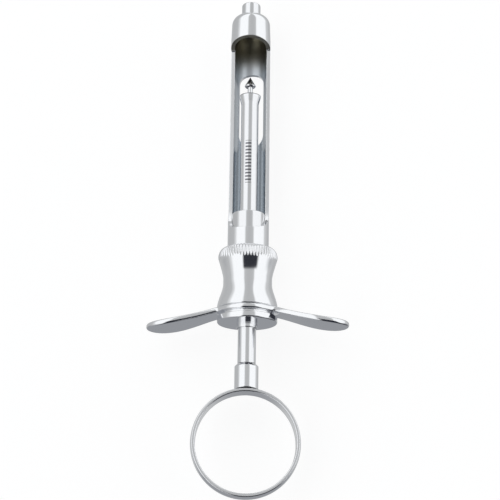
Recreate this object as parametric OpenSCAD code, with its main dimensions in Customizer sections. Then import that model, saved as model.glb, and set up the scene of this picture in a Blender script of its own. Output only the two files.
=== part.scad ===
// Aspirating dental syringe: a windowed barrel for a glass cartridge, a harpoon plunger with
// a thumb ring, and a two-wing finger grip under a waisted spool.
// The axis of the syringe is Y, with the needle at +Y. X runs along the wings, and +Z points
// out of the cartridge window. The origin is on the axis at the needle seat, so stations
// along the body are given as distances behind the seat.

/* [Needle end] */
// Outside diameter of the needle adaptor's thread
adaptor_d = 6; // [5.5:0.1:6.4]
// Length of the adaptor in front of the needle seat
adaptor_len = 4.3; // [3.5:0.1:6]
// Diameter of the channel for the rear end of the needle
channel_d = 1.5; // [1:0.1:2]

/* [Barrel] */
// Outside diameter of the barrel
barrel_d = 12.7; // [12.5:0.1:12.9]
// Diameter of the chamber that holds the cartridge
chamber_d = 10.3; // [9.8:0.1:10.5]
// Distance from the seat to the front end of the chamber
nose_len = 5.5; // [4.5:0.5:7]
// Length of the rounded shoulder at the front of the nose
shoulder_len = 3.2; // [2:0.2:4]
// Distance from the seat to the rear end of the barrel
barrel_len = 88; // [86.5:0.5:90]

/* [Cartridge window] */
// Distance from the seat to the front end of the window, at the top of the barrel
window_front = 9.3; // [8:0.1:11]
// Distance from the seat to the rear end of the window, at the top of the barrel
window_rear = 73.5; // [71:0.5:75]
// Height of the window's long edges, measured from the axis (negative is below it)
window_sill = -0.6; // [-2.5:0.1:1]
// Slope of the window's front end: travel along the axis for each unit of height
window_slope = 0.32; // [0.1:0.02:0.8]
// Radius of the window's rear corners
window_rear_r = 8.2; // [3:0.1:8.5]
// Width of the viewing slot in the back of the barrel
slot_w = 7.8; // [5:0.2:8.4]
// Distance from the seat to the front end of the slot
slot_front = 18.1; // [14:0.1:24]
// Distance from the seat to the rear end of the slot
slot_rear = 43.5; // [36:0.5:60]

/* [Cartridge cup and spring] */
// Distance from the seat to the front edge of the cup
cup_front = 67.6; // [66:0.2:68.6]
// Depth of the cup's recess
cup_depth = 9; // [8.8:0.1:9.2]
// Diameter of the spring's wire
wire_d = 0.8; // [0.5:0.1:1]
// Number of turns in the spring
spring_turns = 6.5; // [4:0.5:8]

/* [Plunger] */
// Diameter of the plunger rod
rod_d = 5.5; // [5:0.1:5.6]
// Diameter of the plunger's flared head
head_d = 6.8; // [6.2:0.1:7]
// Distance from the seat to the front face of the plunger's head
head_front = 27.9; // [22:0.1:40]
// Length of the harpoon in front of the head
harpoon_len = 6.7; // [5:0.1:7.2]
// Diameter across the harpoon's barb
barb_d = 3.6; // [2.6:0.1:4.2]

/* [Finger grip] */
// Distance from the seat to the front edge of the spool
spool_front = 79; // [78:0.2:80]
// Distance from the seat to the front face of the wing plate
wing_front = 98.1; // [97:0.1:100]
// Diameter of the spool's flange
flange_d = 18.2; // [17.2:0.2:20]
// Diameter of the spool's waist
waist_d = 14.9; // [14:0.1:15.5]
// Number of teeth around the spool's bevel
teeth = 56; // [36:4:72]
// Span over both wings
wing_span = 61.6; // [54:0.2:70]
// Width of a wing at its neck
wing_neck_w = 9.4; // [8:0.2:12]
// Width of a wing at its widest
wing_lobe_w = 13; // [11:0.2:16]
// Thickness of the wing plate
wing_t = 1.6; // [1.2:0.1:2.2]
// How far the wing tips lie behind the hub
wing_droop = 4.3; // [0:0.1:7]
// Diameter of the nut under the wing plate
nut_d = 18.3; // [16:0.1:19]
// Thickness of the nut's disc
nut_t = 2.7; // [2:0.1:4]

/* [Thumb ring] */
// Outside diameter of the ring
ring_d = 32.7; // [28:0.1:36]
// Thickness of the ring's band, along its radius
ring_t = 1.4; // [1.2:0.1:2.5]
// Width of the ring's band, along the bore of the ring
ring_w = 7.4; // [5:0.1:8]
// Angle of the ring about the axis, away from the plane of the wings
ring_angle = 8; // [-90:1:90]
// Distance from the seat to the front face of the ring's collar
collar_front = 114.8; // [112:0.1:120]
// Length of the collar
collar_len = 7.2; // [7:0.2:12]
// Diameter of the collar
collar_d = 7.2; // [6.4:0.1:8]

/* [Hidden] */

// Radial gaps of the sliding and turning fits, and the gap that parts two faces
slide_gap = 0.08;
turn_gap = 0.05;
face_gap = 0.05;

// The adaptor's stud, which fills the bore of the nose
stud_r = 2.5;
nose_face_r = 3.2;
nose_taper = 0.2;

// Rear part of the barrel, opened out for the cup's flange
counterbore_r = 5.55;
counterbore_front = cup_front + cup_depth + 0.6;

// Cup: wall, rear end and flange
cup_r = chamber_d / 2 - slide_gap;
cup_wall = 1.07;
cup_rear = counterbore_front + 1.3;
flange_t = 1.25;

// Sleeve of the nut, which fills the spool and holds the guide bush
sleeve_front = 93.5;
washer_t = 0.4;
washer_front = sleeve_front - washer_t;
bush_r = 3.7;
bush_lip_r = 3.2;
bush_shoulder = wing_front + wing_t + nut_t - 1;
bush_rear = 104;

// Spring, between the cup and the washer
spring_r = 4.2;
wire_sides = 8;
rings_per_turn = 24;

// Plunger head and the stud at the rod's rear end
head_rim_t = 0.35;
head_len = 3;
harpoon_stem_r = 0.8;
harpoon_stub_r = 0.9;
harpoon_stub_len = 3;
rod_stud_r = 2;
rod_stud_len = 6;

// Centre of the thumb ring, whose front just meets the saddle of the collar
saddle_len = 0.3;
ring_centre = collar_front + collar_len + saddle_len + ring_d / 2;

// Revolves an outline of [radius, distance behind the seat] points about the axis.
module turned(outline) {
    rotate([-90, 0, 0]) rotate_extrude($fn = 96) polygon([for (p = outline) [p[0], -p[1]]]);
}

// A round bar on the axis, from one distance behind the seat to another.
module bar(r, from, to) {
    translate([0, -to, 0]) rotate([-90, 0, 0]) cylinder(r = r, h = to - from, $fn = 96);
}

// Points on an arc about a centre, from one angle to another.
function arc(centre, r, a0, a1, steps) =
    [for (i = [0 : steps]) let (a = a0 + (a1 - a0) * i / steps) centre + r * [cos(a), sin(a)]];

// Smooth rise from 0 to 1 as t goes from 0 to 1.
function ease(t) = let (u = min(max(t, 0), 1)) u * u * (3 - 2 * u);

module needle_adaptor() {
    chamfer = 0.45;
    r = adaptor_d / 2;
    color("silver") turned([
        [channel_d / 2, nose_len], [stud_r, nose_len], [stud_r, 0], [r, 0],
        [r, chamfer - adaptor_len], [r - chamfer, -adaptor_len], [channel_d / 2, -adaptor_len]
    ]);
}

// Side view of the window: a sloping front end, a straight sill and a round rear corner.
module window_outline() {
    reach = barrel_d;
    front_r = 0.6;
    slope_angle = atan(window_slope);
    sill_front = window_front + window_slope * (barrel_d / 2 - window_sill);
    tangent = front_r * tan((90 - slope_angle) / 2);
    front_centre = [-sill_front - tangent, window_sill + front_r];
    rear_centre = [-window_rear + window_rear_r, window_sill + window_rear_r];
    polygon(concat(
        [[-window_rear, reach]],
        arc(rear_centre, window_rear_r, 180, 270, 16),
        arc(front_centre, front_r, 270, 360 - slope_angle, 8),
        [[-window_front + window_slope * (reach - barrel_d / 2), reach]]
    ));
}

module viewing_slot() {
    r = slot_w / 2;
    translate([0, 0, -barrel_d])
        union() {
            translate([0, -slot_front - r, 0]) cylinder(r = r, h = barrel_d, $fn = 64);
            translate([0, -slot_rear + r, 0]) cylinder(r = r, h = barrel_d, $fn = 64);
            translate([-r, -slot_rear + r, 0])
                cube([slot_w, slot_rear - slot_front - slot_w, barrel_d]);
        }
}

module barrel() {
    r = barrel_d / 2;
    shoulder = [for (a = [0 : 9 : 90])
        [nose_face_r + (r - nose_taper - nose_face_r) * sin(a), shoulder_len * (1 - cos(a))]];
    color("gainsboro") difference() {
        turned(concat(
            [[stud_r, 0]], shoulder,
            [[r, window_front - 0.5], [r, barrel_len], [counterbore_r, barrel_len],
             [counterbore_r, counterbore_front], [chamber_d / 2, counterbore_front],
             [chamber_d / 2, nose_len], [stud_r, nose_len]]
        ));
        rotate([0, 0, 90]) rotate([90, 0, 0])
            linear_extrude(barrel_d + 2, center = true) window_outline();
        viewing_slot();
    }
}

module cartridge_cup() {
    r = cup_r;
    edge = 0.35;
    hole_r = rod_d / 2 + slide_gap;
    recess = cup_front + cup_depth;
    flange_front = cup_rear - flange_t;
    color("silver") turned([
        [r - cup_wall, cup_front], [r - edge, cup_front], [r, cup_front + edge],
        [r, flange_front], [counterbore_r - slide_gap, flange_front],
        [counterbore_r - slide_gap, cup_rear], [hole_r, cup_rear], [hole_r, recess],
        [r - cup_wall, recess]
    ]);
}

// Point on the spring's wire: i counts rings along the helix, j counts sides round the wire.
function wire_point(i, j, rings, front, pitch_len) =
    let (turn = 360 * i / rings_per_turn, side = 360 * j / wire_sides,
         r = spring_r + wire_d / 2 * cos(side))
    [r * cos(turn), -front - pitch_len * i / rings + wire_d / 2 * sin(side), r * sin(turn)];

module cup_spring() {
    rings = round(spring_turns * rings_per_turn);
    front = cup_rear + wire_d / 2 + face_gap;
    pitch_len = washer_front - cup_rear - wire_d - 2 * face_gap;
    points = [for (i = [0 : rings]) for (j = [0 : wire_sides - 1])
        wire_point(i, j, rings, front, pitch_len)];
    skin = [for (i = [0 : rings - 1]) for (j = [0 : wire_sides - 1])
        let (k = (j + 1) % wire_sides, a = i * wire_sides, b = a + wire_sides)
        [a + j, b + j, b + k, a + k]];
    first_cap = [for (j = [0 : wire_sides - 1]) j];
    last_cap = [for (j = [wire_sides - 1 : -1 : 0]) rings * wire_sides + j];
    color("darkgray") polyhedron(points, concat(skin, [first_cap, last_cap]), convexity = 8);
}

module spring_washer() {
    rim_gap = 0.1;
    color("darkgray") turned([
        [rod_d / 2 + 0.3, washer_front], [barrel_d / 2 - rim_gap, washer_front],
        [barrel_d / 2 - rim_gap, sleeve_front], [rod_d / 2 + 0.3, sleeve_front]
    ]);
}

// Outline of the spool's outside, from the bevel over the flange and waist to the base.
function spool_outline(bevel_len, rim_t, base_r) =
    let (waist = waist_d / 2, flange = flange_d / 2 - 0.05,
         top = spool_front + bevel_len + rim_t, waist_front = top + 5.9,
         waist_rear = waist_front + 1.6)
    concat(
        [for (i = [0 : 10]) let (t = i / 10, share = 0.8 * pow(1 - t, 1.3) + 0.2 * ease(1 - t))
            [waist + (flange - waist) * share, top + (waist_front - top) * t]],
        [for (i = [0 : 10]) let (t = i / 10)
            [waist + (base_r - waist) * ease(t), waist_rear + (wing_front - waist_rear) * t]]
    );

module finger_spool() {
    bevel_len = 2.7;
    rim_t = 0.6;
    bevel_front_r = barrel_d / 2 + 0.9;
    base_r = flange_d / 2 + 0.1;
    flange = flange_d / 2;
    bevel_angle = atan2(bevel_len, flange - bevel_front_r);
    color("silver") difference() {
        turned(concat(
            [[barrel_d / 2, spool_front], [bevel_front_r, spool_front],
             [flange, spool_front + bevel_len], [flange, spool_front + bevel_len + rim_t / 2]],
            spool_outline(bevel_len, rim_t, base_r),
            [[barrel_d / 2, wing_front]]
        ));
        for (i = [0 : teeth - 1])
            rotate([0, 360 * i / teeth, 0])
                translate([(flange + bevel_front_r) / 2 + 0.2, -spool_front - bevel_len / 2, 0])
                    rotate([0, 0, -bevel_angle]) rotate([45, 0, 0])
                        cube([5, 0.45, 0.45], center = true);
    }
}

// How far the wing plate lies behind its hub at a distance from the axis.
function droop(x) =
    let (flat = 8.2, bend = 0.8, out = max(abs(x) - flat, 0), reach = wing_span / 2 - flat,
         t = out * out / (out + bend) * (reach + bend) / (reach * reach))
    wing_droop * sin(90 * min(t, 1));

// Half the width of one wing at a distance from the axis, without the hub.
function wing_half_width(x) =
    let (neck = wing_neck_w / 2, lobe = wing_lobe_w / 2, widest = 22, tip = wing_span / 2,
         out = max((abs(x) - widest) / (tip - widest), 0))
    (neck + (lobe - neck) * ease((abs(x) - 10) / (widest - 10))) * sqrt(1 - pow(out, 2.4));

// Half the width of the whole plate, where the round hub is wider than the wings' necks.
function plate_half_width(x) =
    let (hub = flange_d / 2 + 0.2)
    max(wing_half_width(x), sqrt(max(hub * hub - x * x, 0)));

module wing_plan() {
    steps = 60;
    xs = [for (i = [-steps : steps]) wing_span / 2 * sin(90 * i / steps)];
    polygon(concat(
        [for (x = xs) [x, plate_half_width(x)]],
        [for (i = [2 * steps - 1 : -1 : 1]) [xs[i], -plate_half_width(xs[i])]]
    ));
}

module wing_side() {
    reach = wing_span / 2 + 1;
    steps = 40;
    xs = [for (i = [-steps : steps]) reach * i / steps];
    polygon(concat(
        [for (x = xs) [x, -wing_front - droop(x)]],
        [for (i = [2 * steps : -1 : 0]) [xs[i], -wing_front - wing_t - droop(xs[i])]]
    ));
}

module finger_grip() {
    color("gainsboro") difference() {
        intersection() {
            linear_extrude(flange_d + 10, center = true) wing_side();
            translate([0, -wing_front - wing_droop - wing_t - 1, 0]) rotate([-90, 0, 0])
                linear_extrude(wing_droop + wing_t + 2) wing_plan();
        }
        bar(barrel_d / 2, wing_front - 1, wing_front + wing_droop + wing_t + 2);
    }
}

module grip_nut() {
    r = nut_d / 2;
    edge = 0.45;
    neck_r = r - 1;
    seat = wing_front + wing_t;
    front = seat + 0.75;
    rear = seat + nut_t;
    color("silver") turned(concat(
        [[bush_r, sleeve_front], [barrel_d / 2, sleeve_front], [barrel_d / 2, seat]],
        [[neck_r, seat], [neck_r, front]],
        arc([r - edge, front + edge], edge, -90, 0, 6),
        arc([r - edge, rear - edge], edge, 0, 90, 6),
        [[bush_lip_r, rear], [bush_lip_r, bush_shoulder], [bush_r, bush_shoulder]]
    ));
}

module guide_bush() {
    bore_r = rod_d / 2 + slide_gap;
    edge = 0.2;
    color("lightgray") turned([
        [bore_r, sleeve_front], [bush_r, sleeve_front], [bush_r, bush_shoulder],
        [bush_lip_r, bush_shoulder], [bush_lip_r, bush_rear - edge],
        [bush_lip_r - edge, bush_rear], [bore_r, bush_rear]
    ]);
}

module plunger_rod() {
    r = rod_d / 2;
    rim_r = head_d / 2;
    rod_rear = collar_front - face_gap;
    color("gainsboro") difference() {
        turned([
            [0, head_front], [rim_r - 0.1, head_front], [rim_r, head_front + 0.1],
            [rim_r, head_front + head_rim_t], [r + 0.1, head_front + head_len - 0.6],
            [r, head_front + head_len], [r, rod_rear], [rod_stud_r, rod_rear],
            [rod_stud_r, rod_rear + rod_stud_len], [0, rod_rear + rod_stud_len]
        ]);
        bar(harpoon_stub_r, head_front - 1, head_front + harpoon_stub_len);
    }
}

module harpoon() {
    tip = head_front - harpoon_len;
    barb = tip + 3.2;
    color("silver") turned([
        [0, tip], [barb_d / 2, barb], [barb_d / 2 - 0.25, barb + 0.3],
        [harpoon_stem_r, barb - 0.5], [harpoon_stem_r, head_front],
        [harpoon_stub_r, head_front], [harpoon_stub_r, head_front + harpoon_stub_len],
        [0, head_front + harpoon_stub_len]
    ]);
}

module ring_collar() {
    r = collar_d / 2;
    chamfer = 0.9;
    bore_r = rod_stud_r + turn_gap;
    bore_rear = collar_front + rod_stud_len + face_gap;
    color("silver") difference() {
        turned([
            [bore_r, collar_front], [r - chamfer, collar_front], [r, collar_front + chamfer],
            [r, ring_centre],
            [0, ring_centre], [0, bore_rear], [bore_r, bore_rear]
        ]);
        translate([0, -ring_centre, 0]) rotate([0, ring_angle, 0])
            cylinder(d = ring_d, h = collar_d + 2, center = true, $fn = 128);
    }
}

// Band of the ring, flat inside and crowned outside.
module band_section() {
    crown = 0.45;
    half = ring_w / 2;
    inner = ring_d / 2 - ring_t;
    polygon(concat(
        [[inner, -half + 0.2], [inner + 0.2, -half]],
        [for (i = [-6 : 6]) let (t = i / 6) [ring_d / 2 - crown * t * t, half * t]],
        [[inner + 0.2, half], [inner, half - 0.2]]
    ));
}

module thumb_ring() {
    color("gainsboro") translate([0, -ring_centre, 0]) rotate([0, ring_angle, 0])
        rotate_extrude($fn = 128) band_section();
}

needle_adaptor();
barrel();
cartridge_cup();
cup_spring();
spring_washer();
finger_spool();
finger_grip();
grip_nut();
guide_bush();
plunger_rod();
harpoon();
ring_collar();
thumb_ring();
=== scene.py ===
"""Looks of the aspirating dental syringe: polished plated metal under a soft white studio.

Sizes are in millimetres on the syringe's own axis (Y, needle at +Y) and become metres when
a mesh is made. Lengths inside the materials are in metres, because they work on the finished
meshes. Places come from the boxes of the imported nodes.
"""
import math

import bmesh
import bpy
from mathutils import Matrix, Vector


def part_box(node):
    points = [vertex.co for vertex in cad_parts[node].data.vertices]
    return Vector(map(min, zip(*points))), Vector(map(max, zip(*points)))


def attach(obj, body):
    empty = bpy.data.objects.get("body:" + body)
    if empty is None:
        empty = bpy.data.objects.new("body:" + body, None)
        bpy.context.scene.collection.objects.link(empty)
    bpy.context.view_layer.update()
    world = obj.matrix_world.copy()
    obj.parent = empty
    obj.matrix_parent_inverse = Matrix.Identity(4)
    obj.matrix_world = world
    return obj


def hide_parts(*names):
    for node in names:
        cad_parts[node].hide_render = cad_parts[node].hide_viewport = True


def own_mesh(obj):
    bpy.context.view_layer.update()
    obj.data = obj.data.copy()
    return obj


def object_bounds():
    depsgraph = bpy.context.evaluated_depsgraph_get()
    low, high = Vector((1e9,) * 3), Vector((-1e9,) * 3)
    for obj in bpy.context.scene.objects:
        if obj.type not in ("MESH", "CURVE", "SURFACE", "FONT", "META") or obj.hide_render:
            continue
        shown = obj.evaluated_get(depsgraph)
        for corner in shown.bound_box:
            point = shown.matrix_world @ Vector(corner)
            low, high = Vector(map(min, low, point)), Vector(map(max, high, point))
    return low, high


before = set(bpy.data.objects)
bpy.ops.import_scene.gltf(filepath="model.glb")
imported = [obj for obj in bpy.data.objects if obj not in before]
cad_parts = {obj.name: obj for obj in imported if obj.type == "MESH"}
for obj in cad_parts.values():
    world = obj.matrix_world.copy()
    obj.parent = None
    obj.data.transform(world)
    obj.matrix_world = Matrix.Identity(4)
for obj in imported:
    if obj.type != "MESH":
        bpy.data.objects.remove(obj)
CAD_BOX = [list(corner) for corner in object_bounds()]

MM = 0.001                 # metres in a millimetre
WELD = 0.0005 * MM         # closest that two corners of a cut mesh may be
ROUND = 192                # sides of a turned part
SHARP = math.radians(38)   # edges that turn more than this stay crisp


class Box:
    """A node's box in millimetres."""

    def __init__(self, node):
        lo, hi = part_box(node)
        self.x0, self.y0, self.z0 = (v / MM for v in lo)
        self.x1, self.y1, self.z1 = (v / MM for v in hi)


adaptor = Box("needle_adaptor")
barrel = Box("barrel")
cup = Box("cartridge_cup")
spring = Box("cup_spring")
washer = Box("spring_washer")
spool = Box("finger_spool")
grip = Box("finger_grip")
nut = Box("grip_nut")
bush = Box("guide_bush")
rod = Box("plunger_rod")
dart = Box("harpoon")
collar = Box("ring_collar")
ring = Box("thumb_ring")

# Sizes that the nodes' boxes don't show
CHAMBER_R = 5.15
COUNTERBORE_R = 5.55
COUNTERBORE_STEP = cup.y0 + 1.3
STUD_R = 2.5
CHANNEL_R = 0.75
CUP_R = 5.07
CUP_WALL = 1.07
WASHER_HOLE_R = 3.0
WINDOW_FRONT = -9.3
WINDOW_REAR = -73.5
WINDOW_SILL = -0.6
WINDOW_SLOPE = 0.32
WINDOW_FRONT_R = 0.6
WINDOW_REAR_R = 8.2
SLOT_R = 3.9
SLOT_FRONT = -18.1
SLOT_REAR = -43.5
ROD_R = 2.75
ROD_HOLE_R = 2.83
ROD_STUD_R = 2.0
HEAD_LEN = 3.0
HARPOON_STUB_R = 0.9
HARPOON_NECK_R = 0.8
COLLAR_BORE_R = 2.05
BUSH_R = 3.7
BUSH_LIP_R = 3.2
BUSH_SHOULDER = nut.y0 + 1
NUT_NECK_IN = 1.0          # how far the nut's neck lies inside its rim
NUT_NECK_LEN = 0.75
WING_T = 1.6
WING_NECK = 4.7            # half the wing's width next to the hub
WING_LOBE = 6.5            # half its width at the widest


# ---------------------------------------------------------------- mesh helpers

def fillet(before, corner, after, radius, steps):
    """Points of an arc of that radius in the corner between two neighbours."""
    p = Vector(corner)
    a = (Vector(before) - p).normalized()
    b = (Vector(after) - p).normalized()
    half = a.angle(b) / 2
    reach = radius / math.tan(half)
    centre = p + (a + b).normalized() * (radius / math.sin(half))
    start = p + a * reach - centre
    end = p + b * reach - centre
    turn = start.angle_signed(end)
    points = []
    for i in range(steps + 1):
        angle = -turn * i / steps
        c, s = math.cos(angle), math.sin(angle)
        spoke = Vector((start.x * c - start.y * s, start.x * s + start.y * c))
        points.append(tuple(centre + spoke))
    return points


def rounded(outline, loop=True, steps=5):
    """Rounds the corners of an outline of (radius, y) or (radius, y, fillet) points."""
    result = []
    count = len(outline)
    for i, point in enumerate(outline):
        inner = loop or 0 < i < count - 1
        if len(point) == 3 and inner:
            before, after = outline[i - 1][:2], outline[(i + 1) % count][:2]
            result += fillet(before, point[:2], after, point[2], steps)
        else:
            result.append(tuple(point[:2]))
    return result


def about_y(r, angle, h):
    """Place on the syringe's axis of a point at a radius, an angle from +Z and a station."""
    return (r * math.sin(angle), h, r * math.cos(angle))


def new_object(name, bm):
    """Makes an object from a bmesh in millimetres, with outward normals."""
    bmesh.ops.remove_doubles(bm, verts=bm.verts, dist=1e-5)
    bmesh.ops.recalc_face_normals(bm, faces=bm.faces)
    bmesh.ops.scale(bm, vec=(MM, MM, MM), verts=bm.verts)
    mesh = bpy.data.meshes.new(name)
    bm.to_mesh(mesh)
    bm.free()
    piece = bpy.data.objects.new(name, mesh)
    bpy.context.scene.collection.objects.link(piece)
    return piece


def grid_faces(bm, rows, wrap_rows, wrap_columns):
    """Faces between rows of vertices."""
    last = len(rows) if wrap_rows else len(rows) - 1
    for i in range(last):
        a, b = rows[i], rows[(i + 1) % len(rows)]
        columns = len(a) if wrap_columns else len(a) - 1
        for j in range(columns):
            k = (j + 1) % len(a)
            corners = [a[j], a[k], b[k], b[j]]
            unique = list(dict.fromkeys(corners))
            if len(unique) > 2:
                bm.faces.new(unique)


def revolve(name, outline, loop=True, place=about_y, sides=ROUND):
    """A turned solid: the outline goes round the axis, and a point on the axis is a pole."""
    bm = bmesh.new()
    rows = []
    for r, h in outline:
        if r < 1e-6:
            rows.append([bm.verts.new(place(0, 0, h))] * sides)
        else:
            step = 2 * math.pi / sides
            rows.append([bm.verts.new(place(r, step * j, h)) for j in range(sides)])
    grid_faces(bm, rows, loop, True)
    return new_object(name, bm)


def smooth(piece, weighted=True):
    """Smooth shading that keeps flats flat and edges crisp."""
    mesh = piece.data
    mesh.polygons.foreach_set("use_smooth", [True] * len(mesh.polygons))
    mesh.set_sharp_from_angle(angle=SHARP)
    if weighted:
        even = piece.modifiers.new("even_normals", "WEIGHTED_NORMAL")
        even.keep_sharp = True
        even.weight = 80
    return piece


def cut(piece, cutter):
    """Takes the cutter's volume away from the piece, for good."""
    knife = piece.modifiers.new("cut", "BOOLEAN")
    knife.operation = "DIFFERENCE"
    knife.solver = "EXACT"
    knife.object = cutter
    depsgraph = bpy.context.evaluated_depsgraph_get()
    carved = bpy.data.meshes.new_from_object(piece.evaluated_get(depsgraph))
    piece.modifiers.remove(knife)
    bm = bmesh.new()
    bm.from_mesh(carved)
    bmesh.ops.remove_doubles(bm, verts=bm.verts, dist=WELD)
    bmesh.ops.dissolve_degenerate(bm, edges=bm.edges, dist=WELD)
    bmesh.ops.triangulate(bm, faces=[face for face in bm.faces if len(face.verts) > 4])
    bm.to_mesh(carved)
    bm.free()
    piece.data = carved
    bpy.data.objects.remove(cutter)


def mount(piece, body, material, slot, *nodes):
    """Gives the piece its material and body, and hides the nodes it stands for."""
    piece.data.materials.clear()
    piece.data.materials.append(material)
    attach(piece, body)
    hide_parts(*nodes)


# ---------------------------------------------------------------- materials

def metal(name, colour, roughness, grain, grain_scale, bump, edge=0.0001):
    """Polished metal with drifting roughness, a faint surface grain and softened edges.

    The grain is stretched where its scale along an axis is less than 1.
    """
    material = bpy.data.materials.new(name)
    material.use_nodes = True
    nodes, links = material.node_tree.nodes, material.node_tree.links
    shader = nodes["Principled BSDF"]
    shader.inputs["Metallic"].default_value = 1.0
    shader.inputs["Base Color"].default_value = (*colour, 1)

    place = nodes.new("ShaderNodeTexCoord")
    drift = nodes.new("ShaderNodeTexNoise")
    drift.inputs["Scale"].default_value = 90
    drift.inputs["Detail"].default_value = 3
    links.new(place.outputs["Object"], drift.inputs["Vector"])
    sheen = nodes.new("ShaderNodeMapRange")
    sheen.inputs["From Min"].default_value = 0.35
    sheen.inputs["From Max"].default_value = 0.7
    sheen.inputs["To Min"].default_value = roughness
    sheen.inputs["To Max"].default_value = roughness + 0.05
    links.new(drift.outputs["Fac"], sheen.inputs["Value"])
    links.new(sheen.outputs["Result"], shader.inputs["Roughness"])

    stretch = nodes.new("ShaderNodeMapping")
    stretch.inputs["Scale"].default_value = grain
    links.new(place.outputs["Object"], stretch.inputs["Vector"])
    lines = nodes.new("ShaderNodeTexNoise")
    lines.inputs["Scale"].default_value = grain_scale
    lines.inputs["Detail"].default_value = 4
    links.new(stretch.outputs["Vector"], lines.inputs["Vector"])
    softened = nodes.new("ShaderNodeBevel")
    softened.samples = 6
    softened.inputs["Radius"].default_value = edge
    relief = nodes.new("ShaderNodeBump")
    links.new(softened.outputs["Normal"], relief.inputs["Normal"])
    relief.inputs["Strength"].default_value = bump
    relief.inputs["Distance"].default_value = 0.00002
    links.new(lines.outputs["Fac"], relief.inputs["Height"])
    links.new(relief.outputs["Normal"], shader.inputs["Normal"])
    return material


def span(nodes, links, source, start, end):
    """Rises smoothly from 0 to 1 as a value goes from start to end."""
    node = nodes.new("ShaderNodeMapRange")
    node.interpolation_type = "SMOOTHSTEP"
    node.inputs["From Min"].default_value = start
    node.inputs["From Max"].default_value = end
    links.new(source, node.inputs["Value"])
    return node.outputs["Result"]


def calculate(nodes, links, operation, *inputs):
    """One math node, fed with sockets or numbers."""
    node = nodes.new("ShaderNodeMath")
    node.operation = operation
    for socket, value in zip(node.inputs, inputs):
        if hasattr(value, "is_output"):
            links.new(value, socket)
        else:
            socket.default_value = value
    return node.outputs[0]


def coordinates(nodes, links, kind="Object"):
    """Sockets for x, y and z of the texture coordinates of a kind."""
    place = nodes.new("ShaderNodeTexCoord")
    split = nodes.new("ShaderNodeSeparateXYZ")
    links.new(place.outputs[kind], split.inputs[0])
    return split.outputs


def tint(material, colour, share_of):
    """Mixes a second colour in, by a share worked out from the place on the part."""
    nodes, links = material.node_tree.nodes, material.node_tree.links
    shader = nodes["Principled BSDF"]
    mix = nodes.new("ShaderNodeMix")
    mix.data_type = "RGBA"
    mix.inputs["A"].default_value = shader.inputs["Base Color"].default_value
    mix.inputs["B"].default_value = (*colour, 1)
    links.new(share_of(nodes, links, coordinates(nodes, links)), mix.inputs["Factor"])
    links.new(mix.outputs["Result"], shader.inputs["Base Color"])


def dull(material, extra, share_of):
    """Adds roughness, by a share worked out from the place on the part."""
    nodes, links = material.node_tree.nodes, material.node_tree.links
    roughness = nodes["Principled BSDF"].inputs["Roughness"]
    share = share_of(nodes, links, coordinates(nodes, links))
    more = calculate(nodes, links, "MULTIPLY", share, extra)
    links.new(calculate(nodes, links, "ADD", roughness.links[0].from_socket, more), roughness)


def painted_nose_shade(nodes, links, place):
    """Share of painted shade: 1 at the blind front end of the chamber, fading to 0 behind it."""
    return span(nodes, links, place[1], -0.017, -0.010)


def front_of_bore(nodes, links, place):
    """1 in the front of the chamber, fading to 0 towards the middle of the window."""
    return span(nodes, links, place[1], -0.045, -0.022)


def ticks_and_head_shade(nodes, links, place):
    """A row of short etched marks on the rod, and painted shade on the front face and rim of its
    head.
    """
    pitch, half_w = 0.0011, 0.0009
    row_rear, row_front = -0.0578, -0.0440
    x, y, z = place

    def calc(operation, *inputs):
        """A math node of this material."""
        return calculate(nodes, links, operation, *inputs)

    wave = calc("SINE", calc("MULTIPLY", y, 2 * math.pi / pitch))
    marks = span(nodes, links, wave, -0.1, 0.2)
    across = span(nodes, links, calc("ABSOLUTE", x), half_w + 0.00008, half_w)
    upper = span(nodes, links, z, 0, 0.0005)
    after_rear = span(nodes, links, y, row_rear - 0.0003, row_rear)
    before_front = span(nodes, links, y, row_front + 0.0003, row_front)
    share = calc("MULTIPLY", calc("MULTIPLY", marks, across), upper)
    share = calc("MULTIPLY", share, calc("MULTIPLY", after_rear, before_front))
    face = rod.y1 * MM
    # Painted shade: the head's front face and rim are darkened as a painted shadow line.
    return calc("MAXIMUM", share, span(nodes, links, y, face - 0.0003, face - 0.0002))


PLATE = metal("polished_plate", (0.93, 0.935, 0.95), 0.07, (1, 0.25, 1), 900, 0.05, 0.0003)
TURNED = metal("turned_steel", (0.90, 0.905, 0.92), 0.09, (0.2, 4, 0.2), 700, 0.08)
BORED = metal("bored_steel", (0.60, 0.635, 0.67), 0.15, (1, 1, 1), 600, 0.05)
# Painted shade: the front of the bore is tinted darker and yellower, standing for the shade at the
# chamber's blind end.
tint(BORED, (0.47, 0.45, 0.38), painted_nose_shade)
dull(BORED, 0.16, front_of_bore)
RODDED = metal("etched_steel_and_head_shade", (0.90, 0.905, 0.92), 0.09, (0.2, 4, 0.2), 700, 0.08)
# Etched ticks on the rod, and painted shade on the front of its head.
tint(RODDED, (0.22, 0.22, 0.24), ticks_and_head_shade)
SPRING = metal("spring_steel", (0.62, 0.62, 0.63), 0.28, (1, 1, 1), 1500, 0.15)


# ---------------------------------------------------------------- turned parts

def make_adaptor():
    """The needle adaptor, with its channel and the stud that holds it in the nose."""
    outline = [
        (CHANNEL_R, adaptor.y0), (STUD_R, adaptor.y0), (STUD_R, 0), (adaptor.x1, 0),
        (adaptor.x1, adaptor.y1, 0.5), (CHANNEL_R, adaptor.y1, 0.15),
    ]
    piece = smooth(revolve("adaptor", rounded(outline)))
    mount(piece, "syringe_body", TURNED, "turned_steel", "needle_adaptor")


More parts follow.
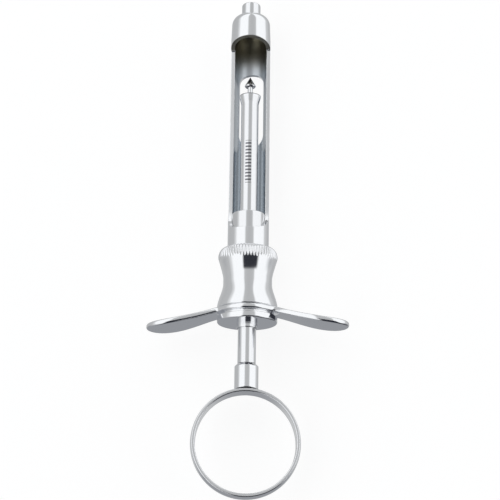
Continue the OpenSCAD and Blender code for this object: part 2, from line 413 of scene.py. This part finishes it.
def make_cup():
    """The cup behind the cartridge, with the flange that stops it in the counterbore."""
    inner = CUP_R - CUP_WALL
    floor = cup.y0 + 1.9
    flange = cup.y0 + 1.25
    outline = [
        (inner, cup.y1, 0.15), (CUP_R, cup.y1, 0.35), (CUP_R, flange), (cup.x1, flange),
        (cup.x1, cup.y0), (ROD_HOLE_R, cup.y0), (ROD_HOLE_R, floor), (inner, floor),
    ]
    piece = smooth(revolve("cup", rounded(outline)))
    mount(piece, "cup", TURNED, "turned_steel", "cartridge_cup")


def make_washer():
    """The washer that the spring pushes on."""
    outline = [
        (WASHER_HOLE_R, washer.y0), (WASHER_HOLE_R, washer.y1),
        (washer.x1, washer.y1), (washer.x1, washer.y0),
    ]
    piece = smooth(revolve("washer", outline))
    mount(piece, "syringe_body", SPRING, "spring_steel", "spring_washer")


def make_nut():
    """The nut behind the wings, necked to clear their bend, and its sleeve."""
    r = nut.x1
    neck_r = r - NUT_NECK_IN
    front = grip_rear()
    rim = front - NUT_NECK_LEN
    outline = [
        (BUSH_R, nut.y1), (barrel.x1, nut.y1), (barrel.x1, front), (neck_r, front),
        (neck_r, rim), (r, rim, 0.35), (r, nut.y0, 0.45), (BUSH_LIP_R, nut.y0),
        (BUSH_LIP_R, BUSH_SHOULDER), (BUSH_R, BUSH_SHOULDER),
    ]
    piece = smooth(revolve("nut", rounded(outline)))
    mount(piece, "syringe_body", PLATE, "polished_plate", "grip_nut")


def make_bush():
    """The rod's guide inside the nut."""
    outline = [
        (ROD_HOLE_R, bush.y1), (BUSH_R, bush.y1), (BUSH_R, BUSH_SHOULDER),
        (BUSH_LIP_R, BUSH_SHOULDER), (BUSH_LIP_R, bush.y0, 0.2), (ROD_HOLE_R, bush.y0),
    ]
    piece = smooth(revolve("bush", rounded(outline)))
    mount(piece, "syringe_body", TURNED, "turned_steel", "guide_bush")


def make_rod():
    """The plunger rod, from its flared head to the stud inside the collar."""
    rim = rod.x1
    front = rod.y1
    rear = collar.y1 + 0.05
    head_rear = front - HEAD_LEN
    outline = [
        (0, head_rear), (HARPOON_STUB_R, head_rear), (HARPOON_STUB_R, front),
        (rim, front, 0.12), (rim, front - 0.35, 0.12), (ROD_R + 0.1, front - 2.4, 1.5),
        (ROD_R, head_rear, 0.5), (ROD_R, rear), (ROD_STUD_R, rear), (ROD_STUD_R, rod.y0),
        (0, rod.y0),
    ]
    piece = smooth(revolve("rod", rounded(outline, loop=False)))
    mount(piece, "plunger", RODDED, "turned_steel", "plunger_rod")


def make_harpoon():
    """The barbed point that grips the cartridge's stopper."""
    tip = dart.y1
    barb = tip - 3.2
    outline = [
        (0, tip), (dart.x1, barb, 0.08), (dart.x1 - 0.25, barb - 0.3),
        (HARPOON_NECK_R, barb + 0.5, 0.2), (HARPOON_NECK_R, rod.y1),
        (HARPOON_STUB_R, rod.y1), (HARPOON_STUB_R, dart.y0), (0, dart.y0),
    ]
    piece = smooth(revolve("dart", rounded(outline, loop=False), sides=96))
    mount(piece, "plunger", TURNED, "turned_steel", "harpoon")


# ---------------------------------------------------------------- barrel

def window_profile():
    """Side view of the window as (y, z) points, clockwise from the rear top."""
    reach = 2 * barrel.x1
    slope = math.atan(WINDOW_SLOPE)
    sill_front = WINDOW_FRONT - WINDOW_SLOPE * (barrel.x1 - WINDOW_SILL)
    tangent = WINDOW_FRONT_R * math.tan((math.pi / 2 - slope) / 2)
    rear = (WINDOW_REAR + WINDOW_REAR_R, WINDOW_SILL + WINDOW_REAR_R)
    front = (sill_front - tangent, WINDOW_SILL + WINDOW_FRONT_R)
    points = [(WINDOW_REAR, reach)]
    for i in range(33):
        a = math.pi + math.pi / 2 * i / 32
        c, s = WINDOW_REAR_R * math.cos(a), WINDOW_REAR_R * math.sin(a)
        points.append((rear[0] + c, rear[1] + s))
    for i in range(17):
        a = -math.pi / 2 + (math.pi / 2 - slope) * i / 16
        c, s = WINDOW_FRONT_R * math.cos(a), WINDOW_FRONT_R * math.sin(a)
        points.append((front[0] + c, front[1] + s))
    points.append((WINDOW_FRONT + WINDOW_SLOPE * (reach - barrel.x1), reach))
    return points


def prism(name, profile, place, half):
    """A solid of constant section, from -half to +half."""
    bm = bmesh.new()
    near = [bm.verts.new(place(u, v, -half)) for u, v in profile]
    far = [bm.verts.new(place(u, v, half)) for u, v in profile]
    grid_faces(bm, [near, far], False, True)
    bm.faces.new(near)
    bm.faces.new(list(reversed(far)))
    return new_object(name, bm)


def slot_profile():
    """The viewing slot as (x, y) points: two half circles."""
    points = []
    for centre, start in ((SLOT_FRONT - SLOT_R, 0), (SLOT_REAR + SLOT_R, math.pi)):
        for i in range(33):
            a = start + math.pi * i / 32
            points.append((SLOT_R * math.cos(a), centre + SLOT_R * math.sin(a)))
    return points


def barrel_normal(face, corner):
    """Normal of the barrel's true surface at a face's corner, or None off the cylinders."""
    centre = Vector((face.center.x, 0, face.center.z))
    spoke = Vector((corner.x, 0, corner.z))
    for radius in (barrel.x1, CHAMBER_R):
        near = abs(spoke.length / MM - radius) < 0.02
        along = face.normal.dot(centre.normalized()) if centre.length > 0 else 0
        if near and abs(along) > 0.999:
            return spoke.normalized() * (1 if along > 0 else -1)
    return None


def is_inside(face):
    """Whether a face of the barrel belongs to the bore, its blind end or the window's lip."""
    spoke = Vector((face.center.x, 0, face.center.z))
    facing = face.normal.dot(spoke.normalized()) if spoke.length > 0 else 0
    return face.normal.y < -0.9 or (spoke.length / MM < COUNTERBORE_R + 0.1 and facing < -0.9)


def nose_curve():
    """The barrel's rounded front shoulder, from its face to the start of its slight taper."""
    face_r, length, taper = 3.2, 3.2, 0.2
    swell = barrel.x1 - taper - face_r
    curve = []
    for i in range(17):
        a = math.pi / 2 * i / 16
        curve.append((face_r + swell * math.sin(a), -length * (1 - math.cos(a))))
    return curve


def make_barrel():
    """The windowed tube. Its normals are set from its true cylinders, for clean reflections."""
    r = barrel.x1
    outline = [(STUD_R, 0)] + nose_curve() + [
        (r, WINDOW_FRONT + 0.5), (r, barrel.y0), (COUNTERBORE_R, barrel.y0),
        (COUNTERBORE_R, COUNTERBORE_STEP), (CHAMBER_R, COUNTERBORE_STEP),
        (CHAMBER_R, adaptor.y0), (STUD_R, adaptor.y0),
    ]
    piece = revolve("tube", outline)
    across = prism("window", window_profile(), lambda u, v, w: (w, u, v), r + 1)
    through = prism("slot", slot_profile(), lambda u, v, w: (u, v, w - r), r)
    cut(piece, across)
    cut(piece, through)
    smooth(piece, weighted=False)
    mesh = piece.data
    normals = [Vector(n.vector) for n in mesh.corner_normals]
    for face in mesh.polygons:
        for loop in face.loop_indices:
            true = barrel_normal(face, mesh.vertices[mesh.loops[loop].vertex_index].co)
            if true:
                normals[loop] = true
    mesh.normals_split_custom_set(normals)
    mount(piece, "syringe_body", PLATE, "polished_plate", "barrel")
    mesh.materials.append(BORED)
    for face in mesh.polygons:
        face.material_index = 1 if is_inside(face) else 0


# ---------------------------------------------------------------- spool

def spool_profile():
    """The spool's outline from front to rear, as (radius, y, share of the tooth depth)."""
    front, rear = spool.y1, spool.y0
    flange_r, waist_r, base_r = 9.1, 7.45, spool.x1
    front_r = barrel.x1 + 0.4
    shoulder, neck = 2.8, front - 3.0
    waist_front, waist_rear = front - 9.5, front - 11.1
    rows = []
    for i in range(13):
        t = i / 12
        angle = math.pi / 2 * t
        r = front_r + (flange_r - front_r) * math.sin(angle) ** 0.9
        y = front - shoulder * (1 - math.cos(angle))
        rows.append((r, y, min(1, t * 6)))
    for i in range(25):
        t = i / 24
        y = neck + (waist_front - neck) * t
        r = waist_r + (flange_r - waist_r) * (0.8 * (1 - t) ** 1.3 + 0.2 * ease(1 - t))
        rows.append((r, y, max(0, 1 - 5 * t)))
    for i in range(25):
        t = i / 24
        y = waist_rear + (rear + 0.3 - waist_rear) * t
        rows.append((waist_r + (base_r - waist_r) * ease(t), y, 0))
    rows += [(base_r, rear + 0.2, 0), (base_r - 0.2, rear, 0), (barrel.x1, rear, 0)]
    rows += [(barrel.x1, front, 0)]
    return rows


def make_spool():
    """The waisted spool. Its rounded front shoulder is cut with teeth all round."""
    teeth, per_tooth = 56, 8
    depth = 0.32
    bm = bmesh.new()
    sides = teeth * per_tooth
    grid = []
    for r, y, share in spool_profile():
        row = []
        for j in range(sides):
            phase = (j % per_tooth) / per_tooth
            groove = abs(2 * phase - 1)
            dip = depth * share * groove ** 1.5
            row.append(bm.verts.new(about_y(r - dip, 2 * math.pi * j / sides, y - dip * 0.4)))
        grid.append(row)
    grid_faces(bm, grid, True, True)
    piece = smooth(new_object("spool", bm))
    mount(piece, "syringe_body", PLATE, "polished_plate", "finger_spool")


# ---------------------------------------------------------------- finger grip

def ease(t):
    """Rises smoothly from 0 to 1, and stays level outside that."""
    u = min(max(t, 0), 1)
    return u * u * (3 - 2 * u)


def grip_rear():
    """Station of the wing plate's rear face at the hub."""
    return grip.y1 - WING_T


def droop(x):
    """How far the wing plate has bent back towards the ring at a distance from the axis."""
    flat, bend = 8.2, 0.8
    out = max(abs(x) - flat, 0)
    reach = grip.x1 - flat
    t = out * out / (out + bend) * (reach + bend) / (reach * reach)
    return (grip_rear() - grip.y0) * math.sin(math.pi / 2 * min(t, 1))


def half_width(x):
    """Half the wing plate's width: a round hub blended into a neck and a lobe."""
    tip, widest = grip.x1, 22
    x = abs(x)
    out = max((x - widest) / (tip - widest), 0)
    swell = WING_NECK + (WING_LOBE - WING_NECK) * ease((x - 10) / (widest - 10))
    wing = swell * math.sqrt(max(1 - out ** 2.4, 0))
    hub = math.sqrt(max(grip.z1 ** 2 - x * x, 0))
    soft = 1.6
    gap = abs(wing - hub)
    blend = max(soft - gap, 0) ** 2 / (4 * soft)
    return max(wing, hub) + (blend if x > 6 else 0)


def make_grip():
    """The wing plate: its outline is offset inwards up its rounded edges."""
    steps, arc_steps, edge = 110, 6, 0.6
    xs = [grip.x1 * math.sin(math.pi / 2 * i / steps) for i in range(-steps, steps + 1)]
    top = [Vector((x, half_width(x))) for x in xs]
    top[0].y = top[-1].y = 0
    normals = []
    for i, p in enumerate(top):
        a, b = top[max(i - 1, 0)], top[min(i + 1, len(top) - 1)]
        along = (b - a).normalized()
        normals.append(Vector((along.y, -along.x)))
    normals[0], normals[-1] = Vector((1, 0)), Vector((-1, 0))
    levels = []
    for side in (-1, 1):
        arc = []
        for k in range(arc_steps + 1):
            a = math.pi / 2 * k / arc_steps
            arc.append((edge * (1 - math.cos(a)), side * (WING_T / 2 - edge + edge * math.sin(a))))
        levels += list(reversed(arc)) if side < 0 else arc
    bm = bmesh.new()
    grid = []
    for inset, height in levels:
        row = []
        for sign in (1, -1):
            run = range(len(top)) if sign > 0 else range(len(top) - 2, 0, -1)
            for i in run:
                p = top[i] + normals[i] * inset
                y = grip.y1 - WING_T / 2 - droop(p.x) + height
                row.append(bm.verts.new((p.x, y, sign * max(p.y, 0))))
        grid.append(row)
    grid_faces(bm, grid, False, True)
    count = len(top)
    for row in (grid[0], grid[-1]):
        for i in range(count - 1):
            mirror = [row[0] if j == 0 else row[2 * (count - 1) - j] for j in (i, i + 1)]
            corners = list(dict.fromkeys([row[i], row[i + 1], mirror[1], mirror[0]]))
            if len(corners) > 2:
                bm.faces.new(corners)
    piece = new_object("wings", bm)
    hole = revolve("hole", [(0, grip_rear() - 1), (barrel.x1, grip_rear() - 1),
                            (barrel.x1, grip.y1 + 1), (0, grip.y1 + 1)], loop=False)
    cut(piece, hole)
    smooth(piece)
    mount(piece, "syringe_body", PLATE, "polished_plate", "finger_grip")


# ---------------------------------------------------------------- thumb ring

RING_Y = (ring.y0 + ring.y1) / 2
RING_R = (ring.y1 - ring.y0) / 2
RING_HALF_W = 3.7
RING_T = 1.4
CROWN = 0.45
RING_ANGLE = math.radians(8)


def about_ring(r, angle, h):
    """Place on the ring, which is turned a little about the syringe's axis."""
    across = r * math.sin(angle)
    c, s = math.cos(RING_ANGLE), math.sin(RING_ANGLE)
    return (across * c + h * s, RING_Y + r * math.cos(angle), h * c - across * s)


def make_ring():
    """The thumb ring: a band with a slightly crowned outside."""
    outer, half = RING_R, RING_HALF_W
    inner = outer - RING_T
    outline = [(inner, -half, 0.3)]
    outline += [(outer - CROWN * (i / 8) ** 2, half * i / 8) for i in range(-7, 8)]
    outline += [(inner, half, 0.3)]
    outline[1:1] = [(outer - CROWN, -half, 0.2)]
    outline[-1:-1] = [(outer - CROWN, half, 0.2)]
    piece = smooth(revolve("loop", rounded(outline), place=about_ring, sides=256))
    mount(piece, "ring", PLATE, "polished_plate", "thumb_ring")


def make_collar():
    """The collar, saddled to the ring's outside."""
    r = collar.x1
    bore_end = rod.y0 - 0.05
    chamfer = 0.85
    outline = [
        (COLLAR_BORE_R, collar.y1), (r - chamfer, collar.y1, 0.25), (r, collar.y1 - chamfer, 0.35),
        (r, RING_Y), (0, RING_Y), (0, bore_end), (COLLAR_BORE_R, bore_end),
    ]
    piece = revolve("stem", rounded(outline))
    reach = 5
    tool = revolve("saddle", [(0, -reach), (RING_R, -reach), (RING_R, reach), (0, reach)],
                   loop=False, place=about_ring, sides=256)
    cut(piece, tool)
    smooth(piece)
    mount(piece, "ring", PLATE, "polished_plate", "ring_collar")


# ---------------------------------------------------------------- spring

def make_spring():
    """The coil."""
    turns, per_turn, sides = 6.5, 48, 12
    wire, mean = 0.4, 4.2
    start, end = spring.y1 - wire, spring.y0 + wire
    bm = bmesh.new()
    rows = []
    count = int(turns * per_turn)
    for i in range(count + 1):
        turn = 2 * math.pi * i / per_turn
        y = start + (end - start) * i / count
        row = []
        for j in range(sides):
            a = 2 * math.pi * j / sides
            r = mean + wire * math.cos(a)
            h = y + wire * math.sin(a)
            row.append(bm.verts.new((r * math.cos(turn), h, r * math.sin(turn))))
        rows.append(row)
    grid_faces(bm, rows, False, True)
    bm.faces.new(rows[0])
    bm.faces.new(list(reversed(rows[-1])))
    piece = smooth(new_object("coil", bm))
    mount(piece, "syringe_body", SPRING, "spring_steel", "cup_spring")
    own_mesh(piece)


# ---------------------------------------------------------------- studio

def studio_bands(nodes, links, around):
    """Bands round the syringe's axis: a grey ceiling, two white panels and dimmer sides."""
    ceiling = math.radians(13.5)
    stops = [
        (-180, 0.57), (-130, 0.48), (-95, 0.50), (-84, 0.68), (-70, 1.03), (-27, 1.03), (-19, 0.52),
        (0, 0.49), (19, 0.52), (27, 1.03), (84, 1.02), (100, 0.60), (130, 0.48), (180, 0.57),
    ]
    ramp = nodes.new("ShaderNodeValToRGB")
    ramp.color_ramp.interpolation = "EASE"
    band = ramp.color_ramp
    while len(band.elements) < len(stops):
        band.elements.new(0.5)
    for element, (degrees, level) in zip(band.elements, stops):
        element.position = degrees / 360 + 0.5
        element.color = (level * 0.975, level * 0.99, level, 1)
    from_ceiling = calculate(nodes, links, "SUBTRACT", around, ceiling)
    turns = calculate(nodes, links, "DIVIDE", from_ceiling, 2 * math.pi)
    turned = calculate(nodes, links, "ADD", turns, 0.5)
    links.new(calculate(nodes, links, "FRACT", turned), ramp.inputs["Fac"])
    return ramp.outputs["Color"]


def studio_world():
    """Soft white studio as the metal sees it, by direction."""
    world = bpy.data.worlds.new("studio")
    bpy.context.scene.world = world
    world.use_nodes = True
    nodes, links = world.node_tree.nodes, world.node_tree.links
    background = nodes["Background"]

    def rise(source, start, end):
        """A smooth rise of one coordinate."""
        return span(nodes, links, source, start, end)

    def calc(operation, *inputs):
        """A math node of this world."""
        return calculate(nodes, links, operation, *inputs)

    def blend(share, first, colour):
        """Paints a colour over another, by a share."""
        mix = nodes.new("ShaderNodeMix")
        mix.data_type = "RGBA"
        links.new(share, mix.inputs["Factor"])
        links.new(first, mix.inputs["A"])
        mix.inputs["B"].default_value = (*colour, 1)
        return mix.outputs["Result"]

    x, y, z = coordinates(nodes, links, "Generated")
    bands = studio_bands(nodes, links, calc("ARCTAN2", x, z))

    # Dim table edge, below and behind
    low = calc("MULTIPLY", rise(y, 0.05, -0.2), rise(z, 0.1, -0.4))
    colour = blend(low, bands, (0.30, 0.31, 0.33))

    # Dark side of the room, towards the thumb ring: from low down, up past the place of the
    # camera in the main view, where the photographer stood. It stays there in every view.
    aside = calc("ABSOLUTE", calc("SUBTRACT", x, 0.25))
    patch = calc("MULTIPLY", rise(y, -0.08, -0.2), rise(aside, 0.55, 0.41))
    patch = calc("MULTIPLY", patch, rise(z, -0.85, -0.7))
    colour = blend(patch, colour, (0.03, 0.032, 0.04))
    links.new(colour, background.inputs["Color"])
    background.inputs["Strength"].default_value = 1.0


def studio_floor():
    """A plain pale floor, lit mostly by itself and left out of the metal's reflections."""
    bm = bmesh.new()
    bmesh.ops.create_grid(bm, x_segments=1, y_segments=1, size=4000)
    bmesh.ops.translate(bm, verts=bm.verts, vec=(0, 0, CAD_BOX[0][2] / MM))
    floor = new_object("floor", bm)
    material = bpy.data.materials.new("paper")
    material.use_nodes = True
    shader = material.node_tree.nodes["Principled BSDF"]
    shader.inputs["Base Color"].default_value = (0.2, 0.2, 0.2, 1)
    shader.inputs["Roughness"].default_value = 0.9
    shader.inputs["Emission Color"].default_value = (1, 1, 1, 1)
    shader.inputs["Emission Strength"].default_value = 0.86
    floor.data.materials.append(material)
    floor.visible_glossy = False


def make_camera():
    """Looks down on the window from the thumb-ring side, a little from the right."""
    tilt, turn, roll = math.radians(17), math.radians(6.6), math.radians(0.75)
    distance, aim = 400, Vector((0.6, -79.1, 0))
    level = math.cos(tilt)
    back = Vector((level * math.sin(turn), -math.sin(tilt), level * math.cos(turn)))
    forward = -back
    right = forward.cross(Vector((0, 1, 0))).normalized()
    up = right.cross(forward)
    spin = Matrix.Rotation(roll, 3, back)
    right, up = spin @ right, spin @ up
    data = bpy.data.cameras.new("camera")
    data.sensor_width = 36
    data.lens = 93.6
    data.clip_start, data.clip_end = 0.01, 20
    camera = bpy.data.objects.new("camera", data)
    where = (aim + back * distance) * MM
    camera.matrix_world = Matrix((
        (right.x, up.x, back.x, where.x), (right.y, up.y, back.y, where.y),
        (right.z, up.z, back.z, where.z), (0, 0, 0, 1),
    ))
    bpy.context.scene.collection.objects.link(camera)
    bpy.context.scene.camera = camera


bpy.context.scene.view_settings.view_transform = "Standard"
make_camera()
studio_world()
studio_floor()
make_adaptor()
make_barrel()
make_cup()
make_spring()
make_washer()
make_spool()
make_grip()
make_nut()
make_bush()
make_rod()
make_harpoon()
make_collar()
make_ring()

bpy.context.view_layer.update()
